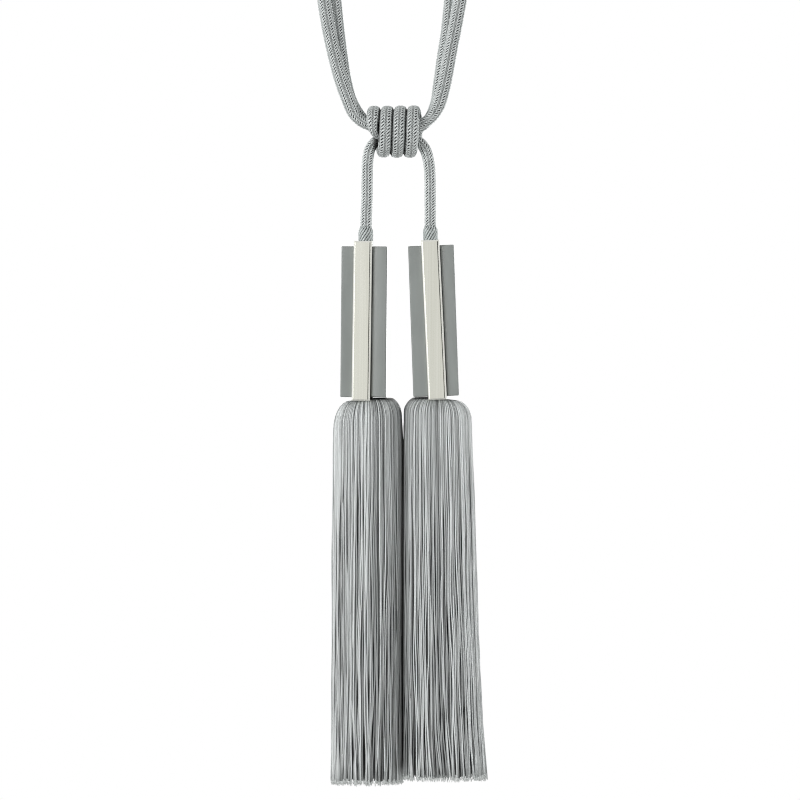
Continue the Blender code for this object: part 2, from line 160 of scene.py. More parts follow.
fade.inputs["From Min"].default_value = FLOOR_PLAIN
fade.inputs["From Max"].default_value = FLOOR_RADIUS
seen = nodes.new("ShaderNodeLightPath")
white = nodes.new("ShaderNodeEmission")
only_seen = nodes.new("ShaderNodeMath")
only_seen.operation = "MULTIPLY"
faded = nodes.new("ShaderNodeMixShader")
links.new(place.outputs["Object"], from_middle.inputs[0])
links.new(from_middle.outputs["Value"], fade.inputs["Value"])
links.new(fade.outputs["Result"], only_seen.inputs[0])
links.new(seen.outputs["Is Camera Ray"], only_seen.inputs[1])
links.new(only_seen.outputs[0], faded.inputs["Fac"])
links.new(matt.outputs["BSDF"], faded.inputs[1])
links.new(white.outputs["Emission"], faded.inputs[2])
links.new(faded.outputs["Shader"], nodes["Material Output"].inputs["Surface"])
floor.data.materials.append(floor_paint)
print("lamps:", ", ".join(LAMPS))

# %% [markdown]
# ## The routes of the cords
# A cord that hangs free takes a smooth curve with no corners. Each route below is a short list of places that
# the middle of the cord passes, and a smooth curve is drawn through them. At each place the cord
# heads along a mean of the two stretches that meet there, in which the nearer neighbour counts more. The
# loop's two cords hang one in front of the other, and its top is closed in a plain round bow.

# %% Routes, in metres
LOOP_FRONT_ROUTE = (
    (-0.0002, -0.0032, -0.1913),
    (-0.0048, -0.0032, -0.1913),
    (-0.0089, -0.0032, -0.1915),
    (-0.0129, -0.0032, -0.1908),
    (-0.017, -0.00325, -0.1892),
    (-0.021, -0.0036, -0.186),
    (-0.0262, -0.004, -0.1749),
    (-0.0302, -0.004, -0.1633),
    (-0.0336, -0.0037, -0.1501),
    (-0.0364, -0.0034, -0.1369),
    (-0.0392, -0.003, -0.12),
    (-0.0417, -0.0032, -0.103),
    (-0.0436, -0.0036, -0.0863),
    (-0.0447, -0.00405, -0.0697),
    (-0.0447, -0.00405, -0.0542),
    (-0.043, -0.00405, -0.0387),
    (-0.0389, -0.00405, -0.0244),
    (-0.0323, -0.00405, -0.0116),
    (-0.023, -0.00405, -0.0022),
    (-0.0117, -0.00405, 0.0026),
    (0.0, -0.00405, 0.0039),
    (0.0117, -0.00405, 0.0026),
    (0.0226, -0.00405, -0.0022),
    (0.0315, -0.00405, -0.0116),
    (0.0379, -0.00405, -0.0244),
    (0.0416, -0.00405, -0.0387),
    (0.043, -0.00405, -0.0542),
    (0.0427, -0.00405, -0.0697),
    (0.0413, -0.0036, -0.0863),
    (0.0391, -0.0032, -0.103),
    (0.0364, -0.00315, -0.1199),
    (0.0333, -0.0036, -0.1369),
    (0.0307, -0.00375, -0.1503),
    (0.0283, -0.004, -0.1636),
    (0.026, -0.004, -0.1739),
    (0.0237, -0.0038, -0.1809),
    (0.0197, -0.0035, -0.1867),
    (0.0141, -0.0032, -0.1902),
    (0.0075, -0.0032, -0.1913),
    (0.0002, -0.0032, -0.1913),
)
LOOP_BACK_ROUTE = (
    (-0.0002, 0.0032, -0.1913),
    (-0.0048, 0.0032, -0.1913),
    (-0.0089, 0.0032, -0.1914),
    (-0.0122, 0.0032, -0.1906),
    (-0.0153, 0.0032, -0.1884),
    (-0.0186, 0.0035, -0.1849),
    (-0.0242, 0.004, -0.1765),
    (-0.0278, 0.004, -0.1637),
    (-0.0297, 0.0037, -0.1515),
    (-0.0314, 0.0034, -0.138),
    (-0.0332, 0.003, -0.1211),
    (-0.0351, 0.0032, -0.103),
    (-0.0375, 0.0036, -0.0863),
    (-0.0402, 0.00405, -0.0697),
    (-0.0418, 0.00405, -0.0542),
    (-0.0415, 0.00405, -0.0387),
    (-0.0382, 0.00405, -0.0244),
    (-0.032, 0.00405, -0.0116),
    (-0.0229, 0.00405, -0.0022),
    (-0.0117, 0.00405, 0.0026),
    (0.0, 0.00405, 0.0039),
    (0.0117, 0.00405, 0.0026),
    (0.0224, 0.00405, -0.0022),
    (0.0311, 0.00405, -0.0116),
    (0.037, 0.00405, -0.0244),
    (0.0401, 0.00405, -0.0387),
    (0.0403, 0.00405, -0.0542),
    (0.0387, 0.00405, -0.0697),
    (0.0361, 0.0036, -0.0863),
    (0.0334, 0.0032, -0.103),
    (0.0311, 0.0033, -0.1211),
    (0.0293, 0.0036, -0.1381),
    (0.0272, 0.00375, -0.1515),
    (0.0253, 0.004, -0.1649),
    (0.0229, 0.0038, -0.1786),
    (0.0191, 0.0033, -0.1861),
    (0.0149, 0.0032, -0.1901),
    (0.0102, 0.0032, -0.1912),
    (0.0052, 0.0032, -0.1914),
    (0.0002, 0.0032, -0.1913),
)
DROP_ROUTE = (
    (-0.0159, 0.0, -0.2468),
    (-0.0156, 0.0, -0.2386),
    (-0.0153, 0.0, -0.2308),
    (-0.0152, 0.0, -0.2195),
    (-0.0151, 0.0, -0.2125),
    (-0.0145, 0.0, -0.2067),
    (-0.0136, 0.0, -0.2031),
    (-0.0114, 0.0, -0.1999),
    (-0.0082, 0.0, -0.1977),
    (-0.0045, 0.0, -0.197),
    (0.0008, 0.0, -0.1968),
    (0.0063, 0.0, -0.197),
    (0.0107, 0.0, -0.1978),
    (0.0143, 0.0, -0.1999),
    (0.0169, 0.0, -0.2034),
    (0.0185, 0.0, -0.2084),
    (0.0193, 0.0, -0.2137),
    (0.0196, 0.0, -0.2195),
    (0.0197, 0.0, -0.2308),
    (0.01975, 0.0, -0.2386),
    (0.01975, 0.0, -0.2462),
)

# %% Smooth curve through a route
LOOP_CORD_RADIUS = 3.9 * MM
DROP_CORD_RADIUS = 3.2 * MM
PRESSED_CORD_RADIUS = 3.0 * MM  # where the knot squeezes it
KNOT_MIDDLE = Vector((0.0, 0.0, -193.6)) * MM
# Distances from the knot's middle between which a pressed cord swells to its own size.
LOOP_CORD_SWELLS = (15 * MM, 34 * MM)
DROP_CORD_SWELLS = (12 * MM, 22 * MM)
CORD_STEPS = 6  # points for each stretch of a route


def smooth_route(route, steps=CORD_STEPS):
    """Points along a smooth curve through the route's own points."""
    points = [Vector(row) for row in route]
    last = len(points) - 1
    headings = []
    for i in range(last + 1):
        before = points[max(i, 1)] - points[max(i, 1) - 1]
        after = points[min(i, last - 1) + 1] - points[min(i, last - 1)]
        nearer_counts_more = before.normalized() * after.length + after.normalized() * before.length
        headings.append(nearer_counts_more.normalized())
    smooth = [points[0]]
    for i in range(last):
        reach = (points[i + 1] - points[i]).length / 3
        handle_out = points[i] + headings[i] * reach
        handle_in = points[i + 1] - headings[i + 1] * reach
        smooth += interpolate_bezier(points[i], handle_out, handle_in, points[i + 1], steps + 1)[1:]
    return smooth


def path_length(points):
    return sum((b - a).length for a, b in zip(points, points[1:]))


def ease(value, low, high):
    """0 below low, 1 above high, and a smooth step between them."""
    part = min(max((value - low) / (high - low), 0.0), 1.0)
    return part * part * (3 - 2 * part)


def swelling(points, free_radius, near, far):
    """Radius of the cord at each point: pressed within the knot, and free at some distance from it."""
    swell = free_radius - PRESSED_CORD_RADIUS
    return [PRESSED_CORD_RADIUS + swell * ease((point - KNOT_MIDDLE).length, near, far) for point in points]


for route_name, route in (("front", LOOP_FRONT_ROUTE), ("back", LOOP_BACK_ROUTE), ("drop", DROP_ROUTE)):
    print(route_name, "cord, mm:", round(path_length(smooth_route(route)) / MM, 1))

# %% [markdown]
# ## Yarn
# Braid, whipping and skirt are all spun from the same silky grey yarn. No two threads catch the light
# alike, and each changes a little along its way. Random Per Island gives every thread and stitch a tone of
# its own, a slow noise drifts along it, and together they mix two greys. A thread that is made from a curve
# has its own map, where U runs along it and V round it, so fine ridges can follow its fibres wherever it
# goes. A stitch of the braid is too small to show its fibres. Light that falls between the threads is soon
# lost there, so shade is painted into the colour: it darkens with a value that each point of a piece
# carries, from its depth and from the shade that other pieces cast on it. A trace of metal in the shader
# gives the hard gloss of silk.


# %% Yarn material
PAINTED_LIGHT = "depth"  # painted light at each point of the yarn: 0 is painted black as shade, at the bottom of the gaps, 1 is full colour
# Painted shade: the colour the yarn is painted where no light is left.
PAINTED_SHADE = (0.02, 0.02, 0.02)
GAPS_END = (0.0, 0.8)  # painted light between which the yarn goes from painted black as shade to its full colour
TONES = (0.2, 0.75)  # the tones between which one grey turns into the other
FIBRE_BUMP = 0.35


def new_material(name, roughness, metallic=0.0):
    material = bpy.data.materials.new(name)
    material.use_nodes = True
    shader = material.node_tree.nodes["Principled BSDF"]
    shader.inputs["Roughness"].default_value = roughness
    shader.inputs["Metallic"].default_value = metallic
    return material, material.node_tree.nodes, material.node_tree.links, shader


def mapped_noise(nodes, links, scale, detail=2.0):
    """Noise over the piece's own coordinates in metres, with a scale of its own along X, Y and Z."""
    place = nodes.new("ShaderNodeTexCoord")
    mapping = nodes.new("ShaderNodeMapping")
    mapping.inputs["Scale"].default_value = scale
    texture = nodes.new("ShaderNodeTexNoise")
    texture.inputs["Scale"].default_value = 1.0
    texture.inputs["Detail"].default_value = detail
    links.new(place.outputs["Object"], mapping.inputs["Vector"])
    links.new(mapping.outputs["Vector"], texture.inputs["Vector"])
    return texture.outputs["Fac"]


def colour_between(nodes, links, factor, dark, light, low=0.3, high=0.7):
    """A colour that goes from dark to light as the factor goes from low to high."""
    ramp = nodes.new("ShaderNodeValToRGB")
    ramp.color_ramp.elements[0].position = low
    ramp.color_ramp.elements[0].color = (*dark, 1.0)
    ramp.color_ramp.elements[1].position = high
    ramp.color_ramp.elements[1].color = (*light, 1.0)
    links.new(factor, ramp.inputs["Fac"])
    return ramp.outputs["Color"]


def add_bump(nodes, links, shader, height, strength, distance):
    """Lets the surface look raised where the height is 1 and sunk where it is 0."""
    bump = nodes.new("ShaderNodeBump")
    bump.inputs["Strength"].default_value = strength
    bump.inputs["Distance"].default_value = distance
    links.new(height, bump.inputs["Height"])
    links.new(bump.outputs["Normal"], shader.inputs["Normal"])


def calculated(nodes, links, operation, *values):
    """The result of a Math node. Each value is a number or what another node puts out."""
    node = nodes.new("ShaderNodeMath")
    node.operation = operation
    for socket, value in zip(node.inputs, values):
        if isinstance(value, float):
            socket.default_value = value
        else:
            links.new(value, socket)
    return node.outputs[0]


def fibre_height(nodes, links, ridges, twist):
    """Ridges side by side round a thread, which turn by a few of their own widths along it."""
    place = nodes.new("ShaderNodeUVMap")
    parts = nodes.new("ShaderNodeSeparateXYZ")
    links.new(place.outputs["UV"], parts.inputs["Vector"])
    along, around = parts.outputs["X"], parts.outputs["Y"]
    turning = calculated(nodes, links, "MULTIPLY_ADD", around, ridges / twist, along)
    phase = calculated(nodes, links, "MULTIPLY", turning, math.tau * twist)
    return calculated(nodes, links, "SINE", phase)


def yarn(name, dark, light, drift, own_tone, fibres=None):
    """Yarn between dark and light, by its drift and each thread's own tone, with shade painted black in the
    gaps.
    """
    material, nodes, links, shader = new_material(name, roughness=0.34, metallic=0.15)
    shader.inputs["Specular IOR Level"].default_value = 0.7
    tone = nodes.new("ShaderNodeMix")
    tone.inputs["Factor"].default_value = own_tone
    links.new(mapped_noise(nodes, links, drift), tone.inputs["A"])
    links.new(nodes.new("ShaderNodeNewGeometry").outputs["Random Per Island"], tone.inputs["B"])
    # The painted light at each point multiplies the grey towards painted black as shade.
    depth = nodes.new("ShaderNodeAttribute")
    depth.attribute_name = PAINTED_LIGHT
    shade = nodes.new("ShaderNodeMix")
    shade.data_type = "RGBA"
    shade.blend_type = "MULTIPLY"
    shade.inputs["Factor"].default_value = 1.0
    own_grey = colour_between(nodes, links, tone.outputs["Result"], dark, light, *TONES)
    light_left = colour_between(nodes, links, depth.outputs["Fac"], PAINTED_SHADE, (1, 1, 1), *GAPS_END)
    links.new(own_grey, shade.inputs["A"])
    links.new(light_left, shade.inputs["B"])
    links.new(shade.outputs["Result"], shader.inputs["Base Color"])
    if fibres:
        ridges, twist, ridge_height = fibres
        add_bump(nodes, links, shader, fibre_height(nodes, links, ridges, twist), FIBRE_BUMP, ridge_height)
    return material


# The two greys, the scale of the drift along X, Y and Z, how much of the tone is each thread's own, and
# the fibres: ridges round a thread, how many of them they turn by along it, and their height.
braid_yarn = yarn("braid yarn", (0.70, 0.75, 0.74), (0.96, 1.0, 0.99), (350, 350, 350), 0.3)
whipping_yarn = yarn(
    "whipping yarn", (0.46, 0.50, 0.49), (0.74, 0.79, 0.78), (500, 500, 200), 0.4, fibres=(12, 4, 0.06 * MM)
)
skirt_yarn = yarn(
    "skirt yarn", (0.34, 0.357, 0.353), (0.885, 0.92, 0.915), (800, 800, 30), 0.6, fibres=(48, 2, 0.04 * MM)
)
frayed_yarn = yarn(
    "frayed yarn", (0.70, 0.73, 0.72), (0.95, 0.98, 0.97), (500, 500, 200), 0.5, fibres=(1, 1, 0.01 * MM)
)
print("yarns:", braid_yarn.name, whipping_yarn.name, skirt_yarn.name, frayed_yarn.name)

# %% [markdown]
# ## The braid
# A braided cord is a sleeve of strands that pass over and under one another, so what shows is columns of
# short stitches along the cord. Here a column of plump stitches with dark slits between them lies beside
# a column of flat, fine ones that almost close up, and where the two meet, small knuckles of the strands that
# cross catch the light. One ring of it is enough: a stitch is a drawn-out sphere, laid slanting beside the
# axis, and `spin` copies the set of columns round it. The whole ring can be rolled a little, to turn a flat
# column to the front. `create_uvsphere` leaves its faces in an order of chance, on which the tone of each
# stitch would depend, so the ring is sorted and comes out the same at each run.

# %% One ring of the braid
CORE_RADIUS = 0.80  # a part of the cord's radius
STITCH_PITCH = 1.54 * MM
# Columns of one set: place in the set (0 to 1), stitches in one pitch, slant in degrees, length as a part of
# the set's width, width as a part of the room each stitch has, thickness and how far they lie below the
# surface as parts of the cord's radius, and sides and steps of a stitch.
PLUMP = (0.24, 1, -45, 0.68, 0.84, 0.36, 0.0, 6, 4)
FLAT = (0.75, 2, -45, 0.70, 1.02, 0.25, 0.03, 4, 3)
KNUCKLES = [(place, 1, 45, 0.28, 0.70, 0.24, -0.02, 4, 3) for place in (0.49, 0.0)]
BRAID_COLUMNS = (PLUMP, FLAT, *KNUCKLES)
GAPS_DARKEN = 1.7  # the higher, the sooner the painted shade gets dark below the crests


def sort_by_corners(bm):
    """Puts edges and faces in the order of the points at their corners."""
    bm.verts.index_update()
    count = len(bm.verts)

    def rank(element):
        corners = sorted(vert.index for vert in element.verts)
        return (corners[-1] * count + corners[0]) * count + corners[1]

    bm.edges.sort(key=rank)
    bm.faces.sort(key=rank)


def braid_ring(radius, pitch, sets, roll):
    """One ring of stitches round the X axis, in sets of columns that lie side by side."""
    bm = bmesh.new()
    set_turn = math.tau / sets
    for place_in_set, count, degrees, long, wide, thick, sunk, sides, stages in BRAID_COLUMNS:
        slant = math.radians(degrees)
        room = pitch / count
        width = wide * room * math.cos(slant)
        size = Vector((thick * radius, width, long * set_turn * radius / abs(math.sin(slant))))
        lay = Matrix.Rotation(slant, 4, "Z") @ Matrix.Rotation(math.pi / 2, 4, "Y")
        for i in range(count):
            out = Matrix.Translation(((i + 0.5) * room, 0, radius * (1 - sunk) - size.x / 2))
            round_cord = Matrix.Rotation(roll + place_in_set * set_turn, 4, "X")
            placed = round_cord @ out @ lay @ Matrix.Diagonal((*size, 1.0))
            bmesh.ops.create_uvsphere(bm, u_segments=sides, v_segments=stages, radius=0.5, matrix=placed)
    bmesh.ops.spin(
        bm,
        geom=bm.verts[:] + bm.edges[:] + bm.faces[:],
        cent=(0, 0, 0),
        axis=(1, 0, 0),
        angle=math.tau * (sets - 1) / sets,
        steps=sets - 1,
        use_duplicate=True,
    )
    # Painted shade: the nearer a point lies to the core, the darker it is painted, as the gaps between
    # stitches lie in shade.
    depth = bm.verts.layers.float.new(PAINTED_LIGHT)
    for vert in bm.verts:
        from_axis = math.hypot(vert.co.y, vert.co.z) / radius
        vert[depth] = min(max((from_axis - CORE_RADIUS) / (1 - CORE_RADIUS), 0.0), 1.0) ** GAPS_DARKEN
    sort_by_corners(bm)
    return bm


print("columns of stitches in a set:", len(BRAID_COLUMNS))

# %% [markdown]
# ## From bmesh and curve to object
# A thread or a cord's core is quickest as a curve with a round bevel, and the braid starts as a bmesh, so
# three small helpers lead from one to the other. One makes an object of a bmesh, one draws any number of
# threads as splines of one curve object, and one adds what an object looks like, modifiers and
# bevel included, to a bmesh. Where two primitives or a cap meet with doubled points, these are merged.

# %% Mesh and curve helpers
DOUBLED = 0.0005 * MM  # points closer than this are one point


def mesh_object(name, bm, material):
    """Makes a smooth-shaded object of a bmesh."""
    mesh = bpy.data.meshes.new(name)
    bm.to_mesh(mesh)
    bm.free()
    mesh.shade_smooth()
    mesh.materials.append(material)
    obj = bpy.data.objects.new(name, mesh)
    bpy.context.scene.collection.objects.link(obj)
    return obj


def curve_object(name, threads, bevel=0.0, resolution=2):
    """A curve with a spline for each thread, which is a list of (point, radius as a part of the bevel)."""
    curve = bpy.data.curves.new(name, "CURVE")
    curve.dimensions = "3D"
    curve.bevel_depth = bevel
    curve.bevel_resolution = resolution
    curve.use_fill_caps = True
    for thread in threads:
        spline = curve.splines.new("POLY")
        spline.points.add(len(thread) - 1)
        spline.use_smooth = True
        for knot, (point, part) in zip(spline.points, thread):
            knot.co = (*point, 1.0)
            knot.radius = part
    obj = bpy.data.objects.new(name, curve)
    bpy.context.scene.collection.objects.link(obj)
    return obj


def take_mesh(bm, obj, depth=None, slot=0):
    """Adds what the object looks like with its modifiers on to a bmesh, and removes the object."""
    seen = obj.evaluated_get(bpy.context.evaluated_depsgraph_get())
    mesh = bpy.data.meshes.new_from_object(seen)
    if depth is not None:
        values = mesh.attributes.new(PAINTED_LIGHT, "FLOAT", "POINT").data
        values.foreach_set("value", [depth] * len(values))
    mesh.polygons.foreach_set("material_index", [slot] * len(mesh.polygons))
    bm.from_mesh(mesh)
    bpy.data.meshes.remove(mesh)
    bpy.data.objects.remove(obj)


def merge_doubles(bm):
    bmesh.ops.remove_doubles(bm, verts=bm.verts, dist=DOUBLED)


def triangles(obj):
    return sum(len(face.vertices) - 2 for face in obj.data.polygons)


def put_in_frame(piece, node):
    """Lets a finished piece ride on the one body, in the place of its node, whose CAD part it hides."""
    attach(piece, "root")
    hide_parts(node)
    print(piece.name, "triangles:", triangles(piece))


print("merged below, mm:", DOUBLED / MM)

# %% [markdown]
# ## A braided cord
# An Array modifier repeats the ring of stitches along a straight cord, and a Curve modifier bends that cord
# along its route, round a core that is painted black as the shade between the stitches. The curve's own
# radius presses the braid thin in the knot. There the winding also takes the light away, so the painted
# light at each point fades to nothing inside it, as painted shade.

# %% Braided cord
# Distances along the knot's axis and from it, between which a cord comes out into the light.
KNOT_SHADE_ALONG = (10.5 * MM, 13.0 * MM)
KNOT_SHADE_ROUND = (9.5 * MM, 12.0 * MM)


def straight_braid(name, radius, length, sets, roll):
    """A straight braid along X from the origin, as an object whose Array modifier repeats one ring."""
    count = round(length / STITCH_PITCH)
    pitch = length / count
    straight = mesh_object(f"{name} braid", braid_ring(radius, pitch, sets, roll), braid_yarn)
    array = straight.modifiers.new("rows", "ARRAY")
    array.use_relative_offset = False
    array.use_constant_offset = True
    array.constant_offset_displace = (pitch, 0, 0)
    array.count = count
    return straight


def in_the_knot(point):
    """1 where the winding takes the light from the cords that it holds, and 0 outside it."""
    from_axis = math.hypot(point.y - KNOT_MIDDLE.y, point.z - KNOT_MIDDLE.z)
    return (1 - ease(abs(point.x), *KNOT_SHADE_ALONG)) * (1 - ease(from_axis, *KNOT_SHADE_ROUND))


def braided_cord(name, points, radii, sets, roll):
    """A braided cord along the points: rings of stitches on a core."""
    radius = max(radii)
    route = [(point, own_radius / radius) for point, own_radius in zip(points, radii)]
    guide = curve_object(f"{name} guide", [route])
    straight = straight_braid(name, radius, path_length(points), sets, roll)
    bend = straight.modifiers.new("route", "CURVE")
    bend.object = guide
    # The core carries no painted light, so it is painted black as the shade between the stitches.
    core = curve_object(f"{name} core", [route], bevel=CORE_RADIUS * radius)
    bm = bmesh.new()
    take_mesh(bm, straight)
    take_mesh(bm, core)
    bpy.data.objects.remove(guide)
    merge_doubles(bm)
    depth = bm.verts.layers.float[PAINTED_LIGHT]
    for vert in bm.verts:
        # Painted shade inside the knot, where the winding keeps the light off the cords.
        vert[depth] *= 1 - in_the_knot(vert.co)
    return mesh_object(name, bm, braid_yarn)


def hanging_cord(name, node, route, radius, swells, sets, roll):
    """A braided cord along its route, in its place in the frame."""
    points = smooth_route(route)
    cord = braided_cord(name, points, swelling(points, radius, *swells), sets, roll)
    put_in_frame(cord, node)


print("a cord is in the dark within, mm:", KNOT_SHADE_ALONG[0] / MM, KNOT_SHADE_ROUND[0] / MM)

# %% [markdown]
# ## The loop
# Two cords make the loop, one in front of the other. Both come out of the knot on the left, go round
# the top and enter the knot again on the right. They are soft and hang under their own weight.

# %% Loop cords
LOOP_COLUMN_SETS = 6
LOOP_ROLL = math.radians(-14)  # turns the columns round the cord, so that a flat one faces the front
for side, route in (("front", LOOP_FRONT_ROUTE), ("back", LOOP_BACK_ROUTE)):
    hanging_cord(
        f"braided_loop_{side}", f"loop_cord_{side}", route,
        LOOP_CORD_RADIUS, LOOP_CORD_SWELLS, LOOP_COLUMN_SETS, LOOP_ROLL,
    )

# %% [markdown]
# ## The cord that carries the tassels
# A thinner length of the same braid comes up from the left head, passes through the knot and goes down to the
# right head.

# %% Drop cord
DROP_COLUMN_SETS = 5
DROP_ROLL = math.radians(37)
hanging_cord(
    "braided_drop", "drop_cord", DROP_ROUTE, DROP_CORD_RADIUS, DROP_CORD_SWELLS, DROP_COLUMN_SETS, DROP_ROLL
)

# %% [markdown]
# ## The knot
# The knot is four turns of cord round the bundle. Its route is a helix, so a formula gives it. The front of
# each turn stands almost upright, and the back runs on to the next turn. Both ends thin out and dive under
# the turn beside them, as a hidden end does. Pulled tight, the soft turns press one another flat. A Curve
# modifier would keep the braid round, so here each point of a straight braid is laid beside the route by
# a formula, wider along the knot than it is thick, and painted dark as shade where two turns touch.

# %% Route of the winding
WRAP_CORD_RADIUS = 3.4 * MM
WRAP_RADIUS = 10.9 * MM  # from the knot's axis to the middle of the cord
WRAP_PITCH = 7.3 * MM
WRAP_FIRST_CREST = -11.1 * MM
WRAP_TURNS_BETWEEN_CRESTS = 3
WRAP_LEAN = 1.5 * MM  # the back of a turn runs on by half a pitch and this, and its front by this much less
WRAP_STEPS_A_TURN = 72
WRAP_THINNER = 0.93  # how thick the tight turns are left when they press one another
WRAP_UNEVEN = 0.6 * MM  # how far the turns stand out from one another
WRAP_UNEVEN_PACE = 0.4
WRAP_UNEVEN_PLACE = 3.1  # any other place in the noise would do as well
TUCK_START = math.radians(58)  # past the crest, where an end begins to dive under its neighbour
TUCK_END = math.radians(128)
TUCK_SIDEWAYS = 5.0 * MM
TUCK_SIDEWAYS_BACK = 4.2 * MM
TUCK_DEPTH = 4.65 * MM
TUCK_SIDEWAYS_POWER = 3  # the higher, the later in the dive
TUCK_DEPTH_POWER = 1.45
TUCK_END_RADIUS = 1.3 * MM


def wrap_point(angle, last_crest):
    """Place and radius of the wound cord at an angle, which is 0 on the first crest and grows to the back."""
    along = WRAP_FIRST_CREST + WRAP_PITCH * angle / math.tau + WRAP_LEAN * (1 - math.cos(angle)) / 2
    past = max(-angle, angle - last_crest, 0.0)
    tuck = min(max((past - TUCK_START) / (TUCK_END - TUCK_START), 0.0), 1.0)
    if angle < 0:
        along += TUCK_SIDEWAYS * tuck**TUCK_SIDEWAYS_POWER
    else:
        along -= TUCK_SIDEWAYS_BACK * tuck**TUCK_SIDEWAYS_POWER
    out = WRAP_RADIUS + WRAP_CORD_RADIUS * (1 - WRAP_THINNER) - TUCK_DEPTH * tuck**TUCK_DEPTH_POWER
    out += WRAP_UNEVEN * noise.noise(Vector((angle * WRAP_UNEVEN_PACE, WRAP_UNEVEN_PLACE, 0)))
    radius = WRAP_CORD_RADIUS + (TUCK_END_RADIUS - WRAP_CORD_RADIUS) * tuck
    return Vector((along, out * math.sin(angle), KNOT_MIDDLE.z + out * math.cos(angle))), radius


last_crest = math.tau * WRAP_TURNS_BETWEEN_CRESTS
first, last = -TUCK_END, last_crest + TUCK_END
steps = round((last - first) / math.tau * WRAP_STEPS_A_TURN)
rows = [wrap_point(first + (last - first) * i / steps, last_crest) for i in range(steps + 1)]
length = path_length([point for point, _ in rows])
print("winding, mm:", round(length / MM, 1))

# %% Winding
WRAP_COLUMN_SETS = 6
WRAP_ROLL = math.radians(16)
WRAP_WIDER = 1.06  # how much wider along the knot the pressed turns are
WRAP_SQUARENESS = 2.5  # 2 leaves the section an ellipse, and more fills its corners
WRAP_TOUCH = (0.78, 1.0)  # parts of the cord's radius, towards the next turn, between which it is painted dark as shade


def pressed(y, z):
    """Where a point of a round section goes when the section is pressed wide and flat."""
    out = math.hypot(y, z) or 1.0
    filled = (abs(y / out) ** WRAP_SQUARENESS + abs(z / out) ** WRAP_SQUARENESS) ** (-1 / WRAP_SQUARENESS)
    return y * filled * WRAP_WIDER, z * filled * WRAP_THINNER


def wind(bm, rows, length, radius):
    """Lays each point of a straight braid beside the route: Y goes along the knot's axis, and Z outwards."""
    points = [point for point, _ in rows]
    last = len(rows) - 1
    frames = []
    for i in range(last + 1):
        ahead = (points[min(i + 1, last)] - points[max(i - 1, 0)]).normalized()
        aside = (Vector((1, 0, 0)) - ahead * ahead.x).normalized()
        frames.append((points[i], aside, ahead.cross(aside), rows[i][1] / radius))
    depth = bm.verts.layers.float[PAINTED_LIGHT]
    for vert in bm.verts:
        place = min(max(vert.co.x / length, 0.0), 1.0) * last
        # Painted shade where a turn touches the next one.
        neighbour = place + math.copysign(WRAP_STEPS_A_TURN, vert.co.y)
        if 0 < neighbour < last:
            vert[depth] *= 1 - ease(abs(vert.co.y) / radius, *WRAP_TOUCH)
        i = min(int(place), last - 1)
        part = place - i
        point, aside, out, size = (a * (1 - part) + b * part for a, b in zip(frames[i], frames[i + 1]))
        y, z = pressed(vert.co.y, vert.co.z)
        vert.co = point + (aside * y + out * z) * size


bm = bmesh.new()
take_mesh(bm, straight_braid("winding", WRAP_CORD_RADIUS, length, WRAP_COLUMN_SETS, WRAP_ROLL))
straight_core = [(Vector((length * i / steps, 0, 0)), 1.0) for i in range(steps + 1)]
# This core carries no painted light either, so it is painted black as shade.
take_mesh(bm, curve_object("core", [straight_core], bevel=CORE_RADIUS * WRAP_CORD_RADIUS))
wind(bm, rows, length, WRAP_CORD_RADIUS)
merge_doubles(bm)
put_in_frame(mesh_object("braided_winding", bm, braid_yarn), "knot_wrap")

# %% [markdown]
# ## The heads
# Each head hangs a little askew, so its pieces are made upright, with the middle of the block's top at
# zero, and one matrix puts them in their place. The tilt goes into the points, and the object itself stays
# at the origin.

# %% Where each head is
BLOCK_WIDTH = 25.0 * MM
BLOCK_HEIGHT = 82.5 * MM
HEADS = {
    "left": {
        "top": Vector((-16.0, 0.0, -258.1)) * MM,
        "lean": math.radians(0.5),
        "turn": math.radians(-2.3),
        "bar_shift": -0.8 * MM,
        "bar_lean": math.radians(0.3),
        "inner": 1,
    },
    "right": {
        "top": Vector((20.1, 0.0, -257.6)) * MM,
        "lean": math.radians(-2.0),
        "turn": math.radians(-1.0),
        "bar_shift": 0.2 * MM,
        "bar_lean": math.radians(-0.7),
        "inner": -1,
    },
}
for head in HEADS.values():
    tilt = Matrix.Rotation(head["turn"], 4, "Z") @ Matrix.Rotation(head["lean"], 4, "Y")
    head["matrix"] = Matrix.Translation(head["top"]) @ tilt
print("heads, mm:", {side: [round(v / MM, 1) for v in head["top"]] for side, head in HEADS.items()})

# %% [markdown]
# ## Whipping
# A coarser yarn is wound over the end of the cord where it enters the head. Its threads climb steeply to
# the right, side by side. Each is a short curve with a round bevel, and they lie on a core, painted black as
# the shade between them, that goes down into the hole in the head.

# %% Whipping
COLLAR_RADIUS = 4.15 * MM
COLLAR_HEIGHT = 11.0 * MM
COLLAR_CORE = 3.3 * MM
SOCKET_DEPTH = 6.0 * MM
GAP = 0.3 * MM
COLLAR_THREADS = 14
COLLAR_THREAD_RADIUS = 0.58 * MM
COLLAR_TWIST = math.radians(150)
COLLAR_STEPS = 14
COLLAR_SHOULDER = 0.80  # part of the height above which the threads close in on the cord
COLLAR_CLOSES_IN = 0.65 * MM
COLLAR_THINS_OUT = 0.5  # part of a thread's thickness that it loses on the way
COLLAR_OVERLAP = 0.9 * MM  # how far the threads go on up the cord, past the core
COLLAR_CORE_SHORTER = 0.4 * MM


def add_cylinder(bm, radius, low, high, segments=32, x=0.0, y=0.0):
    """Adds a closed upright cylinder, also to the mesh's map if it has one."""
    bmesh.ops.create_cone(
        bm, cap_ends=True, segments=segments, radius1=radius, radius2=radius, depth=high - low,
        matrix=Matrix.Translation((x, y, (low + high) / 2)), calc_uvs=True,
    )


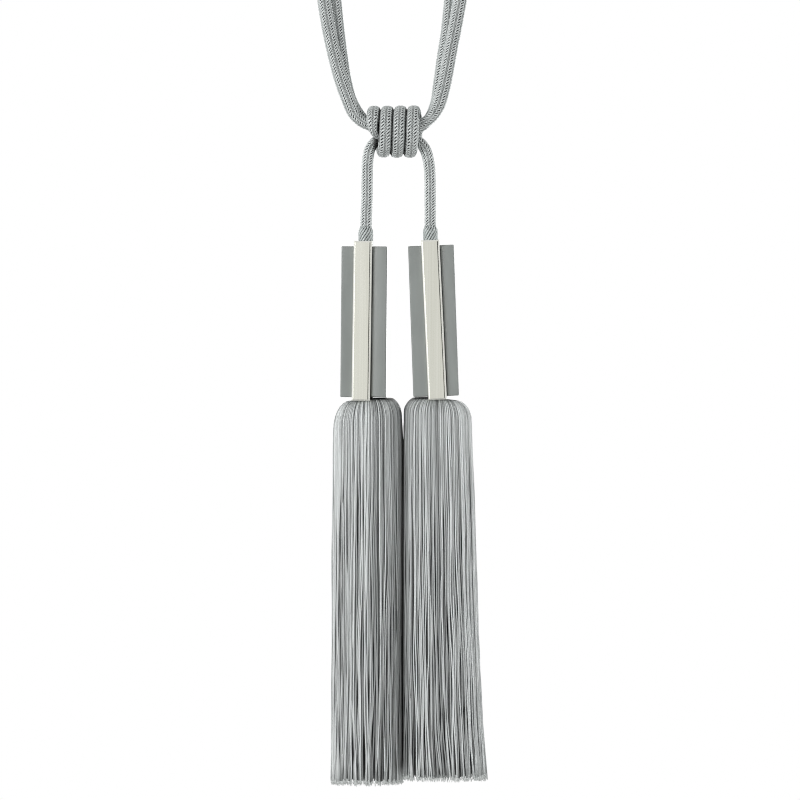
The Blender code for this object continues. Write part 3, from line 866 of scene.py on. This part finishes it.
def whipping_threads():
    threads = []
    bottom = -SOCKET_DEPTH / 2
    for i in range(COLLAR_THREADS):
        thread = []
        for step in range(COLLAR_STEPS + 1):
            part = step / COLLAR_STEPS
            turn = math.tau * i / COLLAR_THREADS + COLLAR_TWIST * part
            close = ease(part, COLLAR_SHOULDER, 1.0)
            out = COLLAR_RADIUS - COLLAR_THREAD_RADIUS - COLLAR_CLOSES_IN * close
            height = bottom + (COLLAR_HEIGHT + COLLAR_OVERLAP - bottom) * part
            point = Vector((out * math.cos(turn), out * math.sin(turn), height))
            thread.append((point, 1 - COLLAR_THINS_OUT * close))
        threads.append(thread)
    return threads


for side, head in HEADS.items():
    bm = bmesh.new()
    # The core carries no painted light, so it is painted black as the shade between the threads.
    add_cylinder(bm, COLLAR_CORE, -SOCKET_DEPTH + GAP, COLLAR_HEIGHT - COLLAR_CORE_SHORTER)
    take_mesh(bm, curve_object("whipping threads", whipping_threads(), COLLAR_THREAD_RADIUS), depth=1.0)
    merge_doubles(bm)
    bmesh.ops.transform(bm, matrix=head["matrix"], verts=bm.verts)
    whipping = mesh_object(f"whipping_{side}", bm, whipping_yarn)
    put_in_frame(whipping, f"collar_{side}")

# %% [markdown]
# ## Painted blocks
# The block is a planed square stick, sprayed grey. Paint rounds its edges a little and leaves a faint
# orange-peel skin, and the coat is slightly uneven. The block is a cube with bevelled edges, and its two
# round holes are cut with a Boolean, so that the collar and the skirt's neck enter it as they do in
# reality. So is a narrow channel along the bar's right side, for the dark line that runs there. A Weighted
# Normal modifier keeps the large faces flat while the narrow rounded edges shade smoothly.

# %% Block paint
paint, nodes, links, shader = new_material("satin grey paint", roughness=0.42)
shader.inputs["Coat Weight"].default_value = 0.6
shader.inputs["Coat Roughness"].default_value = 0.2
cloudy = mapped_noise(nodes, links, (90, 90, 30), detail=3.0)
grey = colour_between(nodes, links, cloudy, (0.262, 0.284, 0.272), (0.300, 0.324, 0.312), 0.35, 0.65)
links.new(grey, shader.inputs["Base Color"])
skin = mapped_noise(nodes, links, (1500, 1500, 1100), detail=1.0)
add_bump(nodes, links, shader, skin, strength=0.25, distance=0.03 * MM)
print("paint:", paint.name)

# %% Blocks
BLOCK_EDGE = 0.6 * MM
NECK_RADIUS = 4.7 * MM
HOLE_WIDER = 0.5 * MM  # than the radius of the collar or the neck in it
BAR_WIDTH = 10.0 * MM
BAR_THICKNESS = 3.0 * MM
BAR_LENGTH = 87.1 * MM
BAR_ABOVE_BLOCK = 2.6 * MM
SEAM_WIDTH = 0.75 * MM
SEAM_DEPTH = 1.4 * MM


def hole_cutter(name, radius, low, high):
    """A drill for the room round a collar or a neck of the given radius."""
    bm = bmesh.new()
    add_cylinder(bm, radius + HOLE_WIDER, low, high, segments=48)
    return mesh_object(name, bm, paint)


def bar_place(head):
    """Where the middle of the bar is in its head."""
    back = BLOCK_WIDTH / 2 + GAP
    place = Vector((head["bar_shift"], -back - BAR_THICKNESS / 2, BAR_ABOVE_BLOCK - BAR_LENGTH / 2))
    return Matrix.Translation(place) @ Matrix.Rotation(head["bar_lean"], 4, "Y")


def seam_cutter(head):
    """A narrow channel in the front of the block along the bar's right side."""
    bm = bmesh.new()
    middle = Matrix.Translation((BAR_WIDTH / 2 + SEAM_WIDTH / 2 - GAP, GAP + BAR_THICKNESS / 2, 0))
    size = Matrix.Diagonal((SEAM_WIDTH + GAP, 2 * SEAM_DEPTH, 2 * BAR_LENGTH, 1.0))
    bmesh.ops.create_cube(bm, size=1.0, matrix=bar_place(head) @ middle @ size)
    return mesh_object("seam", bm, paint)


def drilled(obj, tools):
    """A bmesh of the object with the tools cut from it. The object and the tools are removed."""
    for tool in tools:
        cut = obj.modifiers.new(tool.name, "BOOLEAN")
        cut.object = tool
    bm = bmesh.new()
    take_mesh(bm, obj)
    for tool in tools:
        bpy.data.objects.remove(tool)
    return bm


for side, head in HEADS.items():
    bm = bmesh.new()
    size = Matrix.Diagonal((BLOCK_WIDTH, BLOCK_WIDTH, BLOCK_HEIGHT, 1.0))
    bmesh.ops.create_cube(bm, size=1.0, matrix=Matrix.Translation((0, 0, -BLOCK_HEIGHT / 2)) @ size)
    edges = bm.edges[:]
    bmesh.ops.bevel(bm, geom=edges, offset=BLOCK_EDGE, segments=4, profile=0.5, affect="EDGES", material=-1)
    foot = -BLOCK_HEIGHT
    tools = [
        hole_cutter("collar hole", COLLAR_RADIUS, -SOCKET_DEPTH, MM),
        hole_cutter("neck hole", NECK_RADIUS, foot - MM, foot + SOCKET_DEPTH),
        seam_cutter(head),
    ]
    bm = drilled(mesh_object("block", bm, paint), tools)
    bmesh.ops.transform(bm, matrix=head["matrix"], verts=bm.verts)
    block = mesh_object(f"painted_block_{side}", bm, paint)
    block.modifiers.new("flat faces", "WEIGHTED_NORMAL")
    put_in_frame(block, f"head_block_{side}")

# %% [markdown]
# ## Metal bars
# A flat bar of champagne-coloured metal is fixed to the front of each block and stands a little past both
# of its ends. Its edges are bevelled and polished, and painted a little brighter than its brushed face as a
# highlight, and one fine groove runs down beside the right bevel, painted dark inside as shade. The groove
# is made by cutting a strip out of the front face and pushing it in. The metals share one function, and the
# brushing runs along the bar because its noise is drawn out along Z.

# %% Bar metal
def bar_metal(name, roughness, grain, dark, light, detail=2.0, brushed=0.0):
    """Metal whose tone follows a noise of its own scale along X, Y and Z, which may also roughen it."""
    material, nodes, links, shader = new_material(name, roughness, metallic=1.0)
    streaks = mapped_noise(nodes, links, grain, detail)
    links.new(colour_between(nodes, links, streaks, dark, light), shader.inputs["Base Color"])
    if brushed:
        add_bump(nodes, links, shader, streaks, brushed, distance=0.01 * MM)
    return material


METALS = (
    bar_metal("champagne metal", 0.26, (1400, 1400, 9), (0.66, 0.66, 0.585), (0.72, 0.72, 0.65), 3.0, 0.3),
    # Painted highlight: the polished edge is painted a little brighter than the face, for the bright
    # reflection along it.
    bar_metal("polished champagne edge with painted highlight", 0.3, (500, 500, 60), (0.72, 0.72, 0.67), (0.80, 0.80, 0.75)),
    # Painted shade: the groove's metal is painted dark, as its inside lies in shade.
    bar_metal("metal painted dark in the groove as shade", 0.5, (60, 60, 45), (0.05, 0.05, 0.045), (0.22, 0.22, 0.20)),
)
POLISHED_PAINTED_BRIGHT, GROOVE_PAINTED_DARK = 1, 2  # their places in the list
print("metals:", ", ".join(material.name for material in METALS))

# %% Bars
BAR_BEVEL = 0.8 * MM
BAR_BEVEL_DEPTH = 0.5 * MM
BAR_CORNER = 0.06 * MM
GROOVE_FROM_BEVEL = 0.05 * MM
GROOVE_WIDTH = 0.5 * MM
GROOVE_DEPTH = 0.35 * MM
SHARP = math.radians(30)  # an edge with a greater angle gets a fine round corner


for side, head in HEADS.items():
    bm = bmesh.new()
    bmesh.ops.create_cube(bm, size=1.0, matrix=Matrix.Diagonal((BAR_WIDTH, BAR_THICKNESS, BAR_LENGTH, 1.0)))
    front = min(bm.faces, key=lambda face: face.calc_center_median().y)
    rim = front.edges[:]
    bmesh.ops.bevel(
        bm, geom=rim, offset=BAR_BEVEL, segments=1, profile=0.5, affect="EDGES", material=POLISHED_PAINTED_BRIGHT
    )
    for vert in bm.verts:
        if abs(vert.co.y + BAR_THICKNESS / 2 - BAR_BEVEL) < 0.01 * MM:  # the bevel's back rim
            vert.co.y = BAR_BEVEL_DEPTH - BAR_THICKNESS / 2
    right = BAR_WIDTH / 2 - BAR_BEVEL - GROOVE_FROM_BEVEL
    for cut in (right - GROOVE_WIDTH, right):
        bmesh.ops.bisect_plane(
            bm, geom=bm.verts[:] + bm.edges[:] + bm.faces[:], plane_co=(cut, 0, 0), plane_no=(1, 0, 0)
        )
    strips = [face for face in bm.faces if face.normal.y < -0.9]  # the flat front, in three
    groove = min(strips, key=lambda face: abs(face.calc_center_median().x - right + GROOVE_WIDTH / 2))
    sunk = bmesh.ops.extrude_face_region(bm, geom=[groove])["geom"]
    floor_of_groove = [item for item in sunk if isinstance(item, bmesh.types.BMFace)]
    bmesh.ops.delete(bm, geom=[groove], context="FACES_ONLY")
    bmesh.ops.translate(bm, vec=(0, GROOVE_DEPTH, 0), verts=floor_of_groove[0].verts)
    # The groove's floor and walls get the metal painted dark as shade.
    for edge in floor_of_groove[0].edges:
        for face in edge.link_faces:
            face.material_index = GROOVE_PAINTED_DARK
    sharp = [edge for edge in bm.edges if edge.calc_face_angle(0) > SHARP]
    bmesh.ops.bevel(bm, geom=sharp, offset=BAR_CORNER, segments=2, profile=0.5, affect="EDGES", material=-1)
    bmesh.ops.transform(bm, matrix=head["matrix"] @ bar_place(head), verts=bm.verts)
    bar = mesh_object(f"metal_bar_{side}", bm, METALS[0])
    for material in METALS[1:]:
        bar.data.materials.append(material)
    bar.modifiers.new("flat faces", "WEIGHTED_NORMAL")
    put_in_frame(bar, f"head_bar_{side}")

# %% [markdown]
# ## Skirts
# Hundreds of threads leave the neck under the block, bend over a round shoulder and hang to the bottom. The
# bundle's shape is a short table of sections: how far below the top each lies, where its middle is, and
# its half width and half depth. Between two of them the sides run straight. The round shoulder is lower
# and the flat crown wider on the inner side, where the other tassel is.

# %% Shape of the skirts
RIM_RADIUS = 19.0 * MM
# Height of the top, height of the round shoulder and radius of the flat crown on the outer and the inner
# side, the seed of all that is random in the skirt, and rows of depth below the top, middle in X, half width
# in X and half depth in Y (in mm).
SKIRTS = {
    "left": {
        "top": -342.2 * MM,
        "shoulders": (16 * MM, 8 * MM),
        "crowns": (9.7 * MM, 13.0 * MM),
        "seed": 16,
        "rows": (
            (16.0, -14.95, 19.0, 19.0),
            (60.0, -15.15, 19.25, 19.3),
            (130.0, -15.5, 19.4, 19.8),
            (212.0, -15.8, 19.45, 20.4),
        ),
    },
    "right": {
        "top": -341.9 * MM,
        "shoulders": (12 * MM, 7 * MM),
        "crowns": (9.7 * MM, 12.5 * MM),
        "seed": 28,
        "rows": (
            (16.0, 23.9, 19.0, 19.0),
            (60.0, 24.6, 19.9, 19.6),
            (130.0, 25.6, 21.0, 20.2),
            (180.0, 26.8, 22.2, 20.8),
            (210.0, 27.9, 23.4, 21.4),
        ),
    },
}


def skirt_section(rows, depth):
    """Middle in X, half width and half depth of the skirt at a depth below its top."""
    depth = min(max(depth / MM, rows[0][0]), rows[-1][0])
    for upper, lower in zip(rows, rows[1:]):
        if depth <= lower[0]:
            part = (depth - upper[0]) / (lower[0] - upper[0])
            return [(a + (b - a) * part) * MM for a, b in zip(upper[1:], lower[1:])]


print("skirts, mm long:", {side: skirt["rows"][-1][0] for side, skirt in SKIRTS.items()})

# %% [markdown]
# ## One thread of a skirt
# Each thread is one spline of a curve object with a round bevel, which Blender turns into a mesh. Neighbours
# lean together in small clumps and part again, so smooth noise, which changes little from one thread to the
# next, moves them sideways and in and out. A second noise of its own makes each thread stray, the more the
# further down, and a few ends lean across their neighbours. The outer threads have more sides and points
# than those inside, which show only between them and from below. No thread goes into the block above it
# or past the plane where the two skirts meet.

# %% Sizes of the threads
THREAD_RADIUS = 0.38 * MM
# Layers of threads from the outside in: how far below the surface, number of threads, whether round or
# four-sided (as a bevel's resolution), levels of points below the shoulder, and painted light, which paints
# the inner layers darker as shade.
LAYERS = (
    (0.0 * MM, 136, 1, 26, 1.0),
    (0.7 * MM, 128, 1, 22, 0.30),
    (1.5 * MM, 84, 0, 18, 0.15),
    (2.8 * MM, 72, 0, 12, 0.1),
    (5.5 * MM, 74, 0, 8, 0.05),
    (8.5 * MM, 52, 0, 6, 0.05),
    (12.0 * MM, 34, 0, 6, 0.05),
    (15.5 * MM, 16, 0, 6, 0.05),
)
SHOULDER_STEPS = 7
INNER_LIFT = 1.85 * MM  # how much higher the crown stands on the side of the other tassel
LAYER_DROP = 0.9  # how much lower a layer's crown is than the outer one's, as a part of its inset
# Noise that neighbours share. Its pull grows from the shoulder down, from a part of it to the whole.
CLUMP_WIDTH = 2.3 * MM
CLUMP_LENGTH = 60 * MM
CLUMP_SHIFT = 1.3 * MM
CLUMP_SHIFT_AT_TOP = 0.15
CLUMP_DEPTH = 0.5 * MM
CLUMP_DEPTH_AT_TOP = 0.1
CLUMP_DEPTH_SCALE = 1.3
CLUMP_DEPTH_PLACE = Vector((5.2, 1.3, 9.1))
LAYERS_APART = 900  # noise places for each metre that a layer is sunk, so that layers differ
# Noise of each thread's own.
STRAY_SHIFT = 1.1 * MM
STRAY_LENGTH = 32 * MM
STRAY_AT_TOP = 0.25  # parts of that shift
STRAY_BY_HANGING = 0.35
STRAY_BY_LOOSENESS = 0.6
STRAY_DEPTH_AT_TOP = 0.4
STRAY_DEPTH_PLACE = Vector((7, 0, 0))
SHIFTED_AT = 0.6  # part of a layer's inset at which a shift sideways is turned into an angle
OWN_PLACES = 50  # the size of the room in the noise in which each thread picks its own place
HANGS = (4 * MM, 60 * MM)  # depths between which a thread begins to hang
CROSSING_SHIFT = 2.0 * MM  # how far an end may lean across its neighbours
CROSSING_LENGTH = 55 * MM
THINNEST = 0.1  # part of a thread's thickness that is left where it meets the axis
PACKED = (30 * MM, 110 * MM)  # depths between which the threads stop lying side by side without gaps
PACKED_THICKER = 0.10
# Part of the inner layers' painted shade that is taken back near the top, where the threads lie close.
PACKED_SHALLOW = 0.4
END_THICKER = 0.2  # a cut end opens up
END_LENGTH = 15 * MM
UNEVEN_ENDS = 1.8 * MM
FRONT_RISE = 3.4 * MM  # the front was cut a little shorter than the back
FRAY_LENGTH = 2.4 * MM
FRAY_SPREAD = 0.8 * MM
FRAY_RADIUS = 0.19 * MM
FRAY_LENGTHS = (0.4, 1.0)  # parts of that length by which the fibres stand out
FRAY_AT_START = 0.2  # parts of the spread where a fibre starts, and at the thread's end
FRAY_AT_END = 0.3
FRAY_TIP = 0.6  # part of a fibre's thickness at its tip
FRAYED_LAYERS = 3
FIBRES_AN_END = 5
UNEVEN_PLACES = 0.3  # part of the room between two threads by which each may stand off its place
PRESSED_TOGETHER = 1.2 * MM  # how much wider each skirt would be where the two touch
PRESSED_FROM = (5 * MM, 30 * MM)  # depths between which they begin to touch
PRESSED_NARROW = 4  # the higher, the narrower the side that is pressed
MEETING_WAVE = 0.6 * MM
MEETING_WAVE_SCALE = 5 * MM  # the wave's length is this times tau
MEETING_ROOM = 1.2  # how far a thread's middle stays from the other skirt, in thread radii
MEETING_LAYERS = 0.8  # and what its layer adds to that, as a part of its inset
print("threads in a skirt:", sum(layer[1] for layer in LAYERS))


# %% One thread
def meeting_plane(depth, y):
    """Where the two skirts touch, half-way between their sides. A slight wave leaves no straight gap."""
    left, right = (skirt_section(SKIRTS[side]["rows"], depth) for side in ("left", "right"))
    wave = MEETING_WAVE * math.cos(y / MEETING_WAVE_SCALE)
    return (left[0] + left[1] + right[0] - right[1]) / 2 + wave


def packed(depth):
    """1 near the top of the skirt, and 0 where the threads hang freely."""
    return 1 - ease(depth, *PACKED)


def growing(least, part):
    """From least to 1 as the part goes from 0 to 1."""
    return least + (1 - least) * part


def skirt_thread(skirt, head, sunk, turn, length, levels, rng):
    """One thread, as a list of (point, radius as a part)."""
    rows = skirt["rows"]
    block_foot = head["matrix"] @ Vector((0, 0, -BLOCK_HEIGHT))
    block_slope = (head["matrix"] @ Vector((MM, 0, -BLOCK_HEIGHT)) - block_foot).z / MM
    own = Vector((rng.random(), rng.random(), rng.random())) * OWN_PLACES
    inset = sunk + THREAD_RADIUS
    facing = 0.5 + 0.5 * head["inner"] * math.cos(turn)  # 1 on the side of the other tassel
    shoulder, crown = (a + (b - a) * facing for a, b in (skirt["shoulders"], skirt["crowns"]))
    crossing = rng.uniform(-1, 1) * CROSSING_SHIFT
    thread = []
    for step in range(-1, SHOULDER_STEPS + levels + 1):
        over = min(max(step, 0) / SHOULDER_STEPS, 1.0) * math.pi / 2
        if step < SHOULDER_STEPS:
            depth = shoulder * (1 - math.cos(over))
        else:
            depth = shoulder + (length - shoulder) * (step - SHOULDER_STEPS) / levels
        centre, half_width, half_depth = skirt_section(rows, depth)
        reach = (crown + (RIM_RADIUS - crown) * math.sin(over)) / RIM_RADIUS
        if step < 0:
            reach = NECK_RADIUS / RIM_RADIUS
        hang = ease(depth, *HANGS)
        loose = ease(depth, HANGS[1], length)
        spot = Vector((math.cos(turn), math.sin(turn), 0)) * ((RIM_RADIUS - sunk) / CLUMP_WIDTH)
        spot.z = depth / CLUMP_LENGTH + skirt["seed"] + sunk * LAYERS_APART
        own_spot = own + Vector((0, 0, depth / STRAY_LENGTH))
        stray = STRAY_AT_TOP + STRAY_BY_HANGING * hang + STRAY_BY_LOOSENESS * loose
        sideways = noise.noise(spot) * CLUMP_SHIFT * growing(CLUMP_SHIFT_AT_TOP, hang)
        sideways += noise.noise(own_spot) * STRAY_SHIFT * stray
        sideways += crossing * ease(depth, length - CROSSING_LENGTH, length + CROSSING_LENGTH / 2)
        in_and_out = noise.noise(spot * CLUMP_DEPTH_SCALE + CLUMP_DEPTH_PLACE)
        lean = in_and_out * CLUMP_DEPTH * growing(CLUMP_DEPTH_AT_TOP, hang)
        lean += noise.noise(own_spot + STRAY_DEPTH_PLACE) * CLUMP_DEPTH * growing(STRAY_DEPTH_AT_TOP, hang)
        place = turn + sideways / (RIM_RADIUS - SHIFTED_AT * sunk)
        narrow = (RIM_RADIUS - inset) / (RIM_RADIUS - THREAD_RADIUS)
        towards_other = max(head["inner"] * math.cos(place), 0.0) ** PRESSED_NARROW
        half_width += PRESSED_TOGETHER * towards_other * ease(depth, *PRESSED_FROM)
        x = centre + ((half_width * reach - THREAD_RADIUS) * narrow + lean) * math.cos(place)
        y = ((half_depth * reach - THREAD_RADIUS) * narrow + lean) * math.sin(place)
        room = (meeting_plane(depth, y) - x) * head["inner"] - THREAD_RADIUS * MEETING_ROOM
        x += min(room - sunk * MEETING_LAYERS, 0.0) * head["inner"]
        lift = INNER_LIFT * facing * (1 - math.sin(over))
        z = skirt["top"] - THREAD_RADIUS - depth + lift - sunk * LAYER_DROP * math.cos(over)
        thick = 1.0 + PACKED_THICKER * packed(depth) + END_THICKER * ease(depth, length - END_LENGTH, length)
        z = min(z, block_foot.z + block_slope * (x - block_foot.x) - THREAD_RADIUS)  # below the block
        thread.append((Vector((x, y, z)), growing(THINNEST, reach) * thick))
    return thread


# %% [markdown]
# ## The ends of the threads
# A cut thread opens into its fibres. Only the outer layers show their ends, so only they get a few short
# fibres each, which start inside the thread and spread past its end. The front of a skirt was cut a
# little higher than its back, and no two ends are quite level.

# %% Layers and frayed ends
def frayed_ends(threads, rng):
    """Fine fibres that spread from the cut end of each thread."""
    fibres = []
    for thread in threads:
        end = thread[-1][0]
        ahead = (end - thread[-2][0]).normalized()
        for _ in range(FIBRES_AN_END):
            spread = Vector((rng.uniform(-1, 1), rng.uniform(-1, 1), 0)) * FRAY_SPREAD
            reach = FRAY_LENGTH * rng.uniform(*FRAY_LENGTHS)
            start = end - ahead * FRAY_LENGTH / 2 + spread * FRAY_AT_START
            tip = end + ahead * reach + spread
            fibres.append([(start, 1.0), (end + spread * FRAY_AT_END, 1.0), (tip, FRAY_TIP)])
    return fibres


def skirt_layer(skirt, head, sunk, count, levels, rng):
    """The threads of one layer."""
    end = skirt["rows"][-1][0] * MM + THREAD_RADIUS - FRAY_LENGTH
    threads = []
    for i in range(count):
        turn = math.tau * (i + rng.uniform(-UNEVEN_PLACES, UNEVEN_PLACES)) / count
        length = end - rng.random() ** 2 * UNEVEN_ENDS - FRONT_RISE * max(-math.sin(turn), 0.0)
        threads.append(skirt_thread(skirt, head, sunk, turn, length, levels, rng))
    return threads


print("fibres in a skirt:", sum(layer[1] for layer in LAYERS[:FRAYED_LAYERS]) * FIBRES_AN_END)

# %% [markdown]
# ## Both skirts
# The layers of threads become one mesh. Then each point's painted light takes in what keeps the light off
# it, as painted shade: the block close above, and the other skirt, which leaves a dark line where the two
# meet and a weak shade beside it. Near the top the threads lie so close that there are no deep gaps between
# them, so less shade is painted on the inner layers there. Last comes the neck, the bound root of the
# threads, which stands in the block's lower hole and is painted black as shade.

# %% Skirts
UNDER_BLOCK = (0.9 * MM, 2.6 * MM)  # distances below the block between which light comes in
MEETING_DARK = 1.5 * MM  # from the other skirt to where light reaches the threads again
MEETING_SHADE = 15 * MM  # and to where the other skirt takes none of it
MEETING_LIGHT = 0.5  # part of the light that is left where that shade begins
NECK_BELOW_TOP = 6 * MM
for side, skirt in SKIRTS.items():
    rng = random.Random(skirt["seed"])
    bm = bmesh.new()
    for number, (sunk, count, resolution, levels, layer_shade) in enumerate(LAYERS):
        threads = skirt_layer(skirt, HEADS[side], sunk, count, levels, rng)
        take_mesh(bm, curve_object("threads", threads, THREAD_RADIUS, resolution), depth=layer_shade)
        if number < FRAYED_LAYERS:
            fibres = curve_object("fibres", frayed_ends(threads, rng), FRAY_RADIUS, resolution=0)
            take_mesh(bm, fibres, depth=1.0, slot=1)
    merge_doubles(bm)
    depth = bm.verts.layers.float[PAINTED_LIGHT]
    foot = HEADS[side]["matrix"] @ Vector((0, 0, -BLOCK_HEIGHT))
    for vert in bm.verts:
        below = skirt["top"] - vert.co.z
        # Painted shade: less of it near the top, then under the block, and along and beside the other skirt.
        vert[depth] += (1 - vert[depth]) * PACKED_SHALLOW * packed(below)
        vert[depth] *= ease(foot.z - vert.co.z, *UNDER_BLOCK)
        if below < skirt["rows"][-1][0] * MM - 2 * FRAY_LENGTH:
            away = abs(vert.co.x - meeting_plane(below, vert.co.y))
            shade = growing(MEETING_LIGHT, ease(away, 0.0, MEETING_SHADE))
            vert[depth] *= ease(away, 0.0, MEETING_DARK) * shade
    # The neck carries no painted light, so it is painted black as shade under the block.
    neck_low, neck_high = skirt["top"] - NECK_BELOW_TOP, foot.z + SOCKET_DEPTH - GAP
    add_cylinder(bm, NECK_RADIUS, neck_low, neck_high, x=foot.x, y=foot.y)
    piece = mesh_object(f"thread_skirt_{side}", bm, skirt_yarn)
    piece.data.materials.append(frayed_yarn)
    put_in_frame(piece, f"skirt_{side}")
